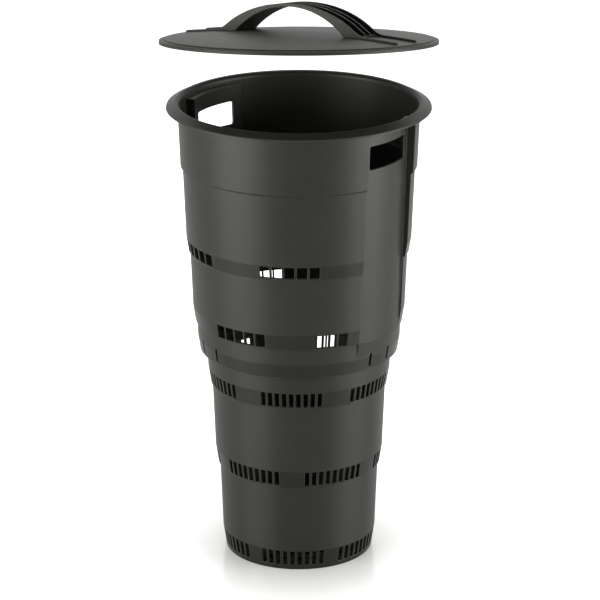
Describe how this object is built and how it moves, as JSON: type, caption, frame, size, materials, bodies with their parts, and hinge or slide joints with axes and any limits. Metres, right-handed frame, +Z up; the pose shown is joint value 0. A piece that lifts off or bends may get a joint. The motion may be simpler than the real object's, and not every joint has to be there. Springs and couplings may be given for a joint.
{
  "type": "underground composter",
  "caption": "Tapering perforated bin for composting food waste in the ground, in two snapped mouldings, with a loose domed lid that has an arched handle.",
  "frame": {"origin": "centre of the foot ring, on the surface that the bin stands on", "axes": "+Z up along the axis of the bin; -Y is the front in the picture and +X its right"},
  "size_m": [0.331, 0.3277, 0.6886],
  "materials": {
    "bin_plastic": "satin injection-moulded polypropylene, dark olive grey",
    "base_plastic": "satin injection-moulded polypropylene, dark olive grey",
    "lid_plastic": "fine satin texture, dark olive grey",
    "handle_plastic": "satin, dark olive grey"
  },
  "bodies": {
    "bin": {"lower_body": "bin_plastic", "base_grate": "base_plastic", "upper_body": "bin_plastic"},
    "lid": {"lid_plate": "lid_plastic", "lid_handle": "handle_plastic"}
  },
  "joints": [
    {"name": "lid_lift", "type": "hinge", "parent": "bin", "child": "lid", "pos_m": [0, 0.49101, 0.60699], "axis": [-1, 0, 0], "range_deg": [-8.7, 21.3]}
  ]
}
